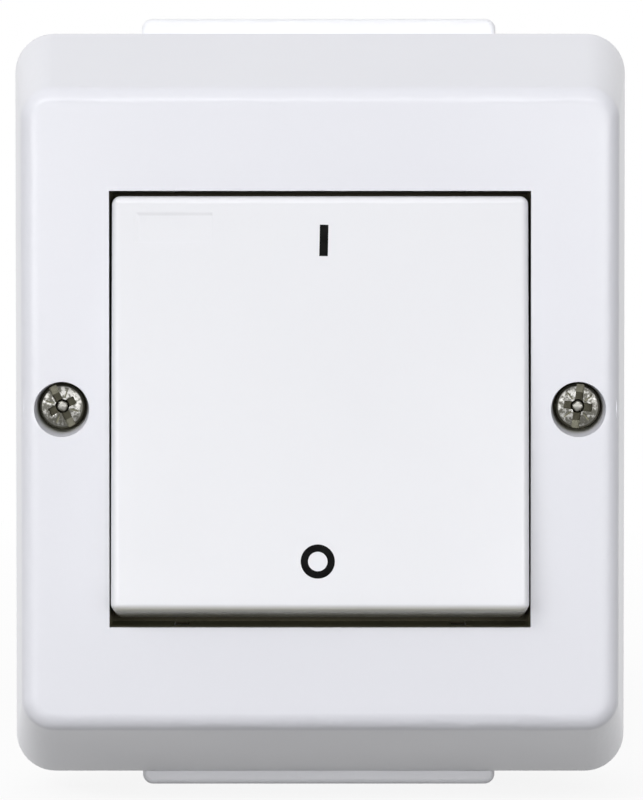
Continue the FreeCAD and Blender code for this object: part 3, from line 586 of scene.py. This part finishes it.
screwSettings = {    # drops and depths are from the front of the head, the shank's places from under it
    "headRadius": 2.95 * mm,
    "headThickness": 2.2 * mm,
    "headSteps": 64,
    "domeRadius": 2.5 * mm,
    "domeDrop": 0.16 * mm,
    "domeShares": (0.0, 0.2, 0.4, 0.6, 0.8),
    "shoulderDrop": 0.55 * mm,
    "shoulderSteps": 6,
    "lowerTaper": 0.1 * mm,
    "slotWidth": 1.05 * mm,
    "slotDepth": 0.95 * mm,
    "crossSpan": 3.75 * mm,
    "crossDepth": 1.25 * mm,
    "cutTurns": (45, 135, 225, 315),
    "cutReach": (1.15 * mm, 2.3 * mm),
    "cutWidth": 0.2 * mm,
    "cutDepth": 0.25 * mm,
    "slotReach": 3.54 * mm,
    "cutterSpare": 1 * mm,
    "wellRadius": 0.92 * mm,
    "wellDepth": 1.6 * mm,
    "wellCone": 0.2 * mm,
    "wellSteps": 32,
    "pipRadius": 0.74 * mm,
    "pipDrop": 0.64 * mm,
    "pipOutline": ((0.0, 0.0), (0.6, 0.05 * mm), (0.92, 0.16 * mm), (1.0, 0.3 * mm)),    # share, depth
    "pipRoot": 0.5 * mm,
    "shankRadius": 1.75 * mm,
    "shankLength": 24.5 * mm,
    "neck": (2 * mm, 2.4 * mm),
    "coreRadius": 1.4 * mm,
    "tipRadius": 0.6 * mm,
    "tipLength": 1 * mm,
    "threadPitch": 0.9 * mm,
    "threadSteps": 18,
    "threadStart": 2.6 * mm,
    "threadSpare": 4.2 * mm,
    "threadRoot": 0.05 * mm,
    "threadShares": (0.0, 0.35, 0.7),
    "edgeWidth": 0.025 * mm,
    "turns": (-27.0, 7.5),
}


def loose(name, bm):
    # an object that goes into a piece later
    mesh = bpy.data.meshes.new(name)
    bm.to_mesh(mesh)
    bm.free()
    made = bpy.data.objects.new(name, mesh)
    scene.collection.objects.link(made)
    return made


def spunSolid(name, outline, steps, nearby=0.002 * mm):
    # outline is (radius, depth) pairs from the front of the axis to its back
    bm = bmesh.new()
    verts = [bm.verts.new((radius, depth, 0.0)) for radius, depth in outline]
    edges = [bm.edges.new(pair) for pair in zip(verts, verts[1:])]
    bmesh.ops.spin(bm, geom=verts + edges, cent=(0, 0, 0), axis=(0, 1, 0), angle=math.tau, steps=steps,
                   use_merge=True)
    bmesh.ops.remove_doubles(bm, verts=bm.verts, dist=nearby)
    bmesh.ops.recalc_face_normals(bm, faces=bm.faces)
    return loose(name, bm)


def boxSolid(name, low, high, turn=0.0):
    bm = bmesh.new()
    made = bmesh.ops.create_cube(bm, size=1.0)
    size = Vector(high) - Vector(low)
    middle = (Vector(high) + Vector(low)) / 2
    place = Matrix.Rotation(math.radians(turn), 4, "Y") @ Matrix.Translation(middle)
    bmesh.ops.transform(bm, matrix=place @ Matrix.Diagonal((*size, 1.0)), verts=made["verts"])
    return loose(name, bm)


def combined(base, other, operation):
    # joins or cuts one loose solid with another, and leaves only the result
    step = base.modifiers.new(operation, "BOOLEAN")
    step.operation = operation
    step.solver = "EXACT"
    step.object = other
    graph = bpy.context.evaluated_depsgraph_get()
    result = bpy.data.meshes.new_from_object(base.evaluated_get(graph))
    base.modifiers.clear()
    base.data = result
    bpy.data.objects.remove(other)
    return base


def screwOutline(settings):
    radius, inner = settings["headRadius"], settings["domeRadius"]
    top, under = settings["domeDrop"], settings["headThickness"]
    outline = [(inner * share, top * share ** 2) for share in settings["domeShares"]]
    for step in range(settings["shoulderSteps"] + 1):
        turn = math.radians(90 * step / settings["shoulderSteps"])
        outline.append((inner + (radius - inner) * math.sin(turn),
                        top + (settings["shoulderDrop"] - top) * (1 - math.cos(turn))))
    shank, core = settings["shankRadius"], settings["coreRadius"]
    neck, narrowed = settings["neck"]
    end = under + settings["shankLength"]
    return outline + [(radius - settings["lowerTaper"], under), (shank, under), (shank, under + neck),
                      (core, under + narrowed), (core, end - settings["tipLength"]),
                      (settings["tipRadius"], end), (0.0, end)]


def screwHead(settings):
    head = spunSolid("head", screwOutline(settings), settings["headSteps"])
    front, reach = -settings["cutterSpare"], settings["slotReach"]
    slot, span, cut = settings["slotWidth"] / 2, settings["crossSpan"] / 2, settings["cutWidth"] / 2
    near, far = settings["cutReach"]
    cutters = [boxSolid("slotCut", (-slot, front, -reach), (slot, settings["slotDepth"], reach)),
               boxSolid("crossCut", (-span, front, -slot), (span, settings["crossDepth"], slot)),
               boxSolid("deepCut", (-slot, front, -span), (slot, settings["crossDepth"], span))]
    cutters += [boxSolid("cornerCut", (-cut, front, near), (cut, settings["cutDepth"], far), turn)
                for turn in settings["cutTurns"]]
    well, floor = settings["wellRadius"], settings["wellDepth"]
    cutters.append(spunSolid("wellCut", [(0.0, front), (well, front), (well, floor),
                                         (0.0, floor + settings["wellCone"])], settings["wellSteps"]))
    for cutter in cutters:
        combined(head, cutter, "DIFFERENCE")
    pip, root = settings["pipRadius"], floor + settings["pipRoot"]
    outline = [(pip * share, settings["pipDrop"] + depth) for share, depth in settings["pipOutline"]]
    outline += [(pip, root), (0.0, root)]
    return combined(head, spunSolid("pip", outline, settings["wellSteps"]), "UNION")


def addThread(bm, settings):
    # a ridge with three corners that winds along the core
    pitch, steps = settings["threadPitch"], settings["threadSteps"]
    start = settings["headThickness"] + settings["threadStart"]
    turns = int((settings["shankLength"] - settings["threadSpare"]) / pitch)
    inner = settings["coreRadius"] - settings["threadRoot"]
    corners = [bm.verts.new((radius, start + along * pitch, 0.0))
               for radius, along in zip((inner, settings["shankRadius"], inner), settings["threadShares"])]
    edges = [bm.edges.new((corners[i], corners[(i + 1) % 3])) for i in range(3)]
    ridge = bmesh.ops.spin(bm, geom=corners + edges, cent=(0, 0, 0), axis=(0, 1, 0), angle=math.tau * turns,
                           steps=turns * steps, dvec=(0, pitch / steps, 0))
    ends = edges + [item for item in ridge["geom_last"] if isinstance(item, bmesh.types.BMEdge)]
    bmesh.ops.holes_fill(bm, edges=ends, sides=3)


def threadedScrew(settings):
    head = screwHead(settings)
    bm = bmesh.new()
    addThread(bm, settings)
    bmesh.ops.recalc_face_normals(bm, faces=bm.faces)
    bm.from_mesh(head.data)
    bm.to_mesh(head.data)
    bm.free()
    return head


def makeScrews(settings):
    head = threadedScrew(settings)
    bm = bmesh.new()
    places = screwPlaces()
    for place, turn in zip(places, settings["turns"]):
        before = len(bm.verts)
        bm.from_mesh(head.data)
        bm.verts.ensure_lookup_table()
        move = Matrix.Translation(place) @ Matrix.Rotation(math.radians(turn), 4, "Y")
        bmesh.ops.transform(bm, matrix=move, verts=bm.verts[before:])
    bpy.data.objects.remove(head)
    under = places[0].y + settings["headThickness"]
    cuts = [edge for edge in bm.edges if max(vert.co.y for vert in edge.verts) < under]
    softenEdges(bm, settings["edgeWidth"], among=cuts)
    piece = finishPiece("cover_screws_turned", bm, bodyOf["cover_screws"], "zinc", ["cover_screws"])
    piece.data.materials[0] = screwMaterial(screwMetal, places[1], settings["domeRadius"])


makeScrews(screwSettings)
print("screws made")


# The I and O printed on the rocker

markSettings = {
    "lineWidth": 1.13 * mm,
    "lineHeight": 4.15 * mm,
    "linePlace": (0.5 * mm, 21.5 * mm),
    "ringOuter": 2.25 * mm,
    "ringInner": 1.28 * mm,
    "ringPlace": (-0.3 * mm, -20.8 * mm),
    "ringSteps": 72,
    "lean": 1.2,
    "inkThickness": 0.03 * mm,
}


def makeMarks(settings):
    bm = bmesh.new()
    lean = Matrix.Rotation(math.radians(settings["lean"]), 4, "Y")
    made = bmesh.ops.create_cube(bm, size=1.0)
    size = Matrix.Diagonal((settings["lineWidth"], settings["inkThickness"], settings["lineHeight"], 1.0))
    place = Matrix.Translation((settings["linePlace"][0], rockerFace, settings["linePlace"][1]))
    bmesh.ops.transform(bm, matrix=place @ lean @ size, verts=made["verts"])
    # half of the ring's section, spun round its middle
    middle = Vector((settings["ringPlace"][0], rockerFace, settings["ringPlace"][1]))
    half = settings["inkThickness"] / 2
    corners = [bm.verts.new(middle + Vector((radius, depth, 0.0)))
               for radius, depth in ((settings["ringInner"], -half), (settings["ringOuter"], -half),
                                     (settings["ringOuter"], half), (settings["ringInner"], half))]
    outline = [bm.edges.new((corners[i], corners[(i + 1) % 4])) for i in range(4)]
    bmesh.ops.spin(bm, geom=corners + outline, cent=middle, axis=(0, 1, 0), angle=math.tau,
                   steps=settings["ringSteps"], use_merge=True)
    bmesh.ops.recalc_face_normals(bm, faces=bm.faces)
    bmesh.ops.transform(bm, matrix=rockerPlane(), verts=bm.verts)
    finishPiece("rocker_marks", bm, bodyOf["rocker"], "mark_ink")


makeMarks(markSettings)
print("marks made")


# Stage, light and camera

stageSettings = {
    "floorSize": 40.0,
    "bounce": 0.17,    # the floor's colour for the light that it throws back
    "whiteShare": (0.88, 1.0),    # near the object, and far from it
    "shadowReach": (0.12, 0.6),
}


def seenDirectly(tree):
    # 1 for what the camera sees, straight or in something shiny or clear
    ray = tree.nodes.new("ShaderNodeLightPath")
    seen = mathNode(tree, "MAXIMUM", ray.outputs["Is Camera Ray"], ray.outputs["Is Glossy Ray"])
    return mathNode(tree, "MAXIMUM", seen, ray.outputs["Is Transmission Ray"])


def makeStage(settings):
    bm = bmesh.new()
    bmesh.ops.create_grid(bm, x_segments=1, y_segments=1, size=settings["floorSize"] / 2)
    bmesh.ops.translate(bm, vec=(0, 0, cadLow.z), verts=bm.verts)
    mesh = bpy.data.meshes.new("floor")
    bm.to_mesh(mesh)
    bm.free()
    floor = bpy.data.objects.new("floor", mesh)
    scene.collection.objects.link(floor)
    material, tree, shader = startMaterial("paleFloor")
    seen = seenDirectly(tree)
    setInput(shader, "Base Color", spread(tree, seen, settings["bounce"], 1.0, 0.0, 1.0))
    shader.inputs["Roughness"].default_value = 0.9
    shader.inputs["Specular IOR Level"].default_value = 0.0
    white = tree.nodes.new("ShaderNodeEmission")
    mix = tree.nodes.new("ShaderNodeMixShader")
    distance = vectorMath(tree, "LENGTH", objectPlace(tree))["Value"]
    share = spread(tree, distance, *settings["whiteShare"], *settings["shadowReach"])
    setInput(mix, 0, mathNode(tree, "MULTIPLY", seen, share))
    setInput(mix, 1, shader.outputs["BSDF"])
    setInput(mix, 2, white.outputs["Emission"])
    setInput(tree.nodes["Material Output"], "Surface", mix.outputs["Shader"])
    mesh.materials.append(material)


worldSettings = {"horizon": 0.05, "zenith": 0.45, "left": 0.6, "back": 1.3, "seen": 1.0}


def makeWorld(settings):
    # brighter overhead, at the left and behind the object, plain white where it is seen
    world = bpy.data.worlds.new("studio")
    world.use_nodes = True
    tree = world.node_tree
    background = tree.nodes["Background"]
    way = tree.nodes.new("ShaderNodeTexCoord").outputs["Generated"]
    parts = addNode(tree, "ShaderNodeSeparateXYZ", Vector=way).outputs
    light = spread(tree, parts["Z"], settings["horizon"], settings["zenith"], 0.0, 1.0)
    for axis, sign, share in (("X", -1, "left"), ("Y", 1, "back")):
        towards = mathNode(tree, "MAXIMUM", mathNode(tree, "MULTIPLY", parts[axis], sign), 0.0)
        lobe = mathNode(tree, "MULTIPLY", mathNode(tree, "POWER", towards, 2.0), settings[share])
        light = mathNode(tree, "ADD", light, lobe)
    setInput(background, "Color", (1.0, 1.0, 1.0, 1.0))
    setInput(background, "Strength", spread(tree, seenDirectly(tree), light, settings["seen"], 0.0, 1.0))
    scene.world = world


lampDistance = 2.2

lampSettings = [
    {"name": "topBox", "azimuth": -4, "elevation": 33, "size": (2.0, 0.35), "level": 0.275},
    {"name": "leftBox", "azimuth": -33, "elevation": 33, "size": (0.9, 0.35), "level": 0.15},
    {"name": "leftStrip", "azimuth": -28, "elevation": 3, "size": (2.0, 0.3), "level": 0.265},
    {"name": "rightStrip", "azimuth": 28, "elevation": 3, "size": (2.0, 0.3), "level": 0.265},
]


def makeLamp(settings):
    # level 1 lights a surface that faces the lamp so that its colour shows about as written
    light = bpy.data.lights.new(settings["name"], "AREA")
    light.shape = "RECTANGLE"
    light.size, light.size_y = settings["size"]
    light.energy = settings["level"] * math.pi ** 2 * lampDistance ** 2
    lamp = bpy.data.objects.new(settings["name"], light)
    around, above = math.radians(settings["azimuth"]), math.radians(settings["elevation"])
    flat = math.cos(above)
    direction = Vector((math.sin(around) * flat, -math.cos(around) * flat, math.sin(above)))
    target = Vector((0, cadLow.y, 0))
    lamp.location = target + direction * lampDistance
    lamp.rotation_euler = (-direction).to_track_quat("-Z", "Y").to_euler()
    scene.collection.objects.link(lamp)


cameraSettings = {"place": (0.19 * mm, -610 * mm, 18.34 * mm), "downward": 1.747, "lens": 190.87,
                  "clip": (0.01, 20)}


def makeCamera(settings):
    data = bpy.data.cameras.new("camera")
    data.lens = settings["lens"]
    data.clip_start, data.clip_end = settings["clip"]
    camera = bpy.data.objects.new("camera", data)
    camera.location = settings["place"]
    camera.rotation_euler = (math.radians(90 - settings["downward"]), 0, 0)
    scene.collection.objects.link(camera)
    scene.camera = camera


makeStage(stageSettings)
makeWorld(worldSettings)
for settings in lampSettings:
    makeLamp(settings)
makeCamera(cameraSettings)
scene.view_settings.view_transform = "Standard"
print("stage, lamps and camera made")
